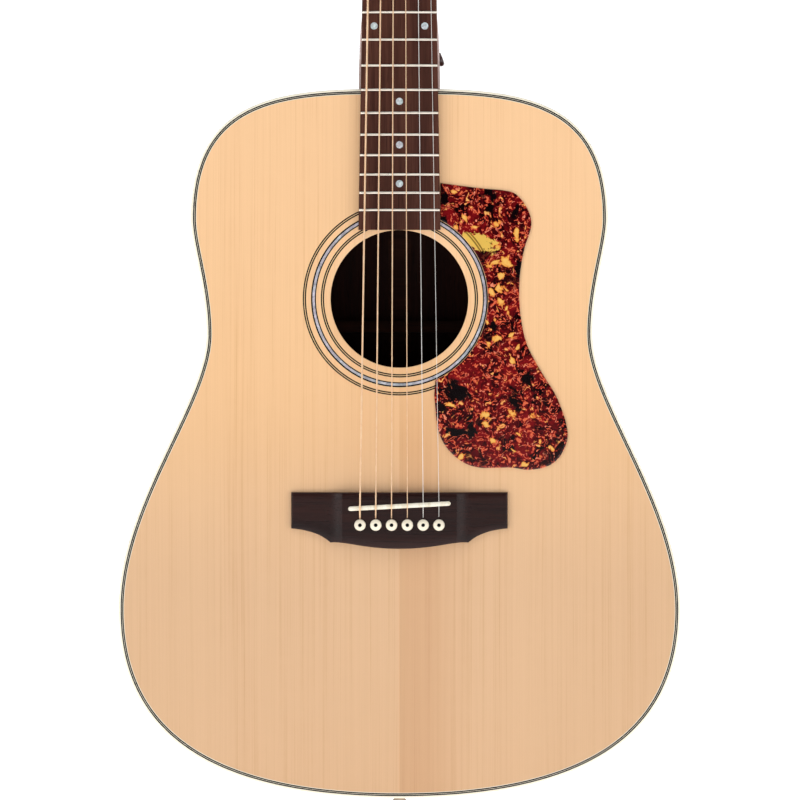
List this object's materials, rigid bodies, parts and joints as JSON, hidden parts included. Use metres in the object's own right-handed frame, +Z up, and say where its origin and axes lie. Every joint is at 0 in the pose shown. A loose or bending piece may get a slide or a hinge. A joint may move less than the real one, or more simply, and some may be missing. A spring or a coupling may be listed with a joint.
{
  "type": "acoustic guitar",
  "caption": "Full-size flat-top steel-string guitar: hollow wooden body with a round soundhole, glued bridge, fretted neck and geared tuners that turn.",
  "frame": {"origin": "the nut's fret-side face on the centre line, in the plane of the soundboard's outer face, where a hanger or stand yoke holds the neck", "axes": "+Z up the neck to the headstock, -Y out of the soundboard, +X towards the treble side"},
  "size_m": [0.396, 0.134, 1.0614],
  "materials": {
    "spruce_top": "gloss lacquer over fine straight grain",
    "mahogany": "gloss lacquer over open grain",
    "lining_wood": "bare sanded wood",
    "brace_spruce": "bare sanded spruce",
    "maple": "bare sanded wood",
    "ivory_binding": "polished cream plastic",
    "black_inlay": "black and white fibre lines, lacquered",
    "pearl": "iridescent mother-of-pearl",
    "rosewood": "dark oiled rosewood",
    "bone": "polished bone",
    "tortoiseshell": "glossy red tortoiseshell with amber clouds",
    "fret_wire": "polished nickel silver",
    "plain_steel": "bright plain wire",
    "wound_bronze": "bronze wire wound on a steel core",
    "brass": "plain brass",
    "steel": "plain steel",
    "chrome": "polished nickel plate"
  },
  "bodies": {
    "guitar": {"soundboard": "spruce_top", "back": "mahogany", "side_bass": "mahogany", "side_treble": "mahogany", "top_lining": "lining_wood", "back_lining": "lining_wood", "neck_block": "lining_wood", "tail_block": "lining_wood", "top_binding": "ivory_binding", "back_binding": "ivory_binding", "top_purfling": "black_inlay", "rosette_rings": "black_inlay", "rosette_pearl": "pearl", "x_braces": "brace_spruce", "tone_bars": "brace_spruce", "transverse_brace": "brace_spruce", "bridge_plate": "maple", "back_braces": "brace_spruce", "back_strip": "lining_wood", "bridge": "rosewood", "saddle": "bone", "bridge_pins": "ivory_binding", "pin_dots": "black_inlay", "ball_ends": "brass", "pickguard": "tortoiseshell", "fingerboard": "rosewood", "frets": "fret_wire", "fret_markers": "pearl", "side_dots": "ivory_binding", "neck": "mahogany", "headstock": "mahogany", "heel_cap": "ivory_binding", "truss_rod": "steel", "head_veneer": "rosewood", "nut": "bone", "end_pin": "ivory_binding", "end_graft": "rosewood", "strap_button": "rosewood", "strap_button_screw": "steel", "string_1": "plain_steel", "string_2": "plain_steel", "string_3": "wound_bronze", "string_4": "wound_bronze", "string_5": "wound_bronze", "string_6": "wound_bronze", "tuner_plates": "chrome", "tuner_bushings": "chrome", "tuner_screws": "chrome"},
    "key_1": {"tuner_key_1": "chrome"},
    "post_1": {"tuner_post_1": "chrome"},
    "key_2": {"tuner_key_2": "chrome"},
    "post_2": {"tuner_post_2": "chrome"},
    "key_3": {"tuner_key_3": "chrome"},
    "post_3": {"tuner_post_3": "chrome"},
    "key_4": {"tuner_key_4": "chrome"},
    "post_4": {"tuner_post_4": "chrome"},
    "key_5": {"tuner_key_5": "chrome"},
    "post_5": {"tuner_post_5": "chrome"},
    "key_6": {"tuner_key_6": "chrome"},
    "post_6": {"tuner_post_6": "chrome"}
  },
  "joints": [
    {"name": "key_turn_1", "type": "hinge", "parent": "guitar", "child": "key_1", "pos_m": [0.01986, 0.02637, 0.03615], "axis": [1, 0, 0], "continuous": true},
    {"name": "post_turn_1", "type": "hinge", "parent": "guitar", "child": "post_1", "pos_m": [0.01986, 0.02399, 0.0454], "axis": [0, 0.9703, -0.2419], "continuous": true},
    {"name": "key_turn_2", "type": "hinge", "parent": "guitar", "child": "key_2", "pos_m": [0.02165, 0.03653, 0.0769], "axis": [1, 0, 0], "continuous": true},
    {"name": "post_turn_2", "type": "hinge", "parent": "guitar", "child": "post_2", "pos_m": [0.02165, 0.03415, 0.08615], "axis": [0, 0.9703, -0.2419], "continuous": true},
    {"name": "key_turn_3", "type": "hinge", "parent": "guitar", "child": "key_3", "pos_m": [0.02345, 0.04669, 0.11765], "axis": [1, 0, 0], "continuous": true},
    {"name": "post_turn_3", "type": "hinge", "parent": "guitar", "child": "post_3", "pos_m": [0.02345, 0.04431, 0.1269], "axis": [0, 0.9703, -0.2419], "continuous": true},
    {"name": "key_turn_4", "type": "hinge", "parent": "guitar", "child": "key_4", "pos_m": [-0.02345, 0.04669, 0.11765], "axis": [1, 0, 0], "continuous": true},
    {"name": "post_turn_4", "type": "hinge", "parent": "guitar", "child": "post_4", "pos_m": [-0.02345, 0.04431, 0.1269], "axis": [0, 0.9703, -0.2419], "continuous": true},
    {"name": "key_turn_5", "type": "hinge", "parent": "guitar", "child": "key_5", "pos_m": [-0.02165, 0.03653, 0.0769], "axis": [1, 0, 0], "continuous": true},
    {"name": "post_turn_5", "type": "hinge", "parent": "guitar", "child": "post_5", "pos_m": [-0.02165, 0.03415, 0.08615], "axis": [0, 0.9703, -0.2419], "continuous": true},
    {"name": "key_turn_6", "type": "hinge", "parent": "guitar", "child": "key_6", "pos_m": [-0.01986, 0.02637, 0.03615], "axis": [1, 0, 0], "continuous": true},
    {"name": "post_turn_6", "type": "hinge", "parent": "guitar", "child": "post_6", "pos_m": [-0.01986, 0.02399, 0.0454], "axis": [0, 0.9703, -0.2419], "continuous": true}
  ],
  "couplings": [
    {"joint": "post_turn_1", "follows": "key_turn_1", "ratio": 0.071429},
    {"joint": "post_turn_2", "follows": "key_turn_2", "ratio": 0.071429},
    {"joint": "post_turn_3", "follows": "key_turn_3", "ratio": 0.071429},
    {"joint": "post_turn_4", "follows": "key_turn_4", "ratio": -0.071429},
    {"joint": "post_turn_5", "follows": "key_turn_5", "ratio": -0.071429},
    {"joint": "post_turn_6", "follows": "key_turn_6", "ratio": -0.071429}
  ]
}
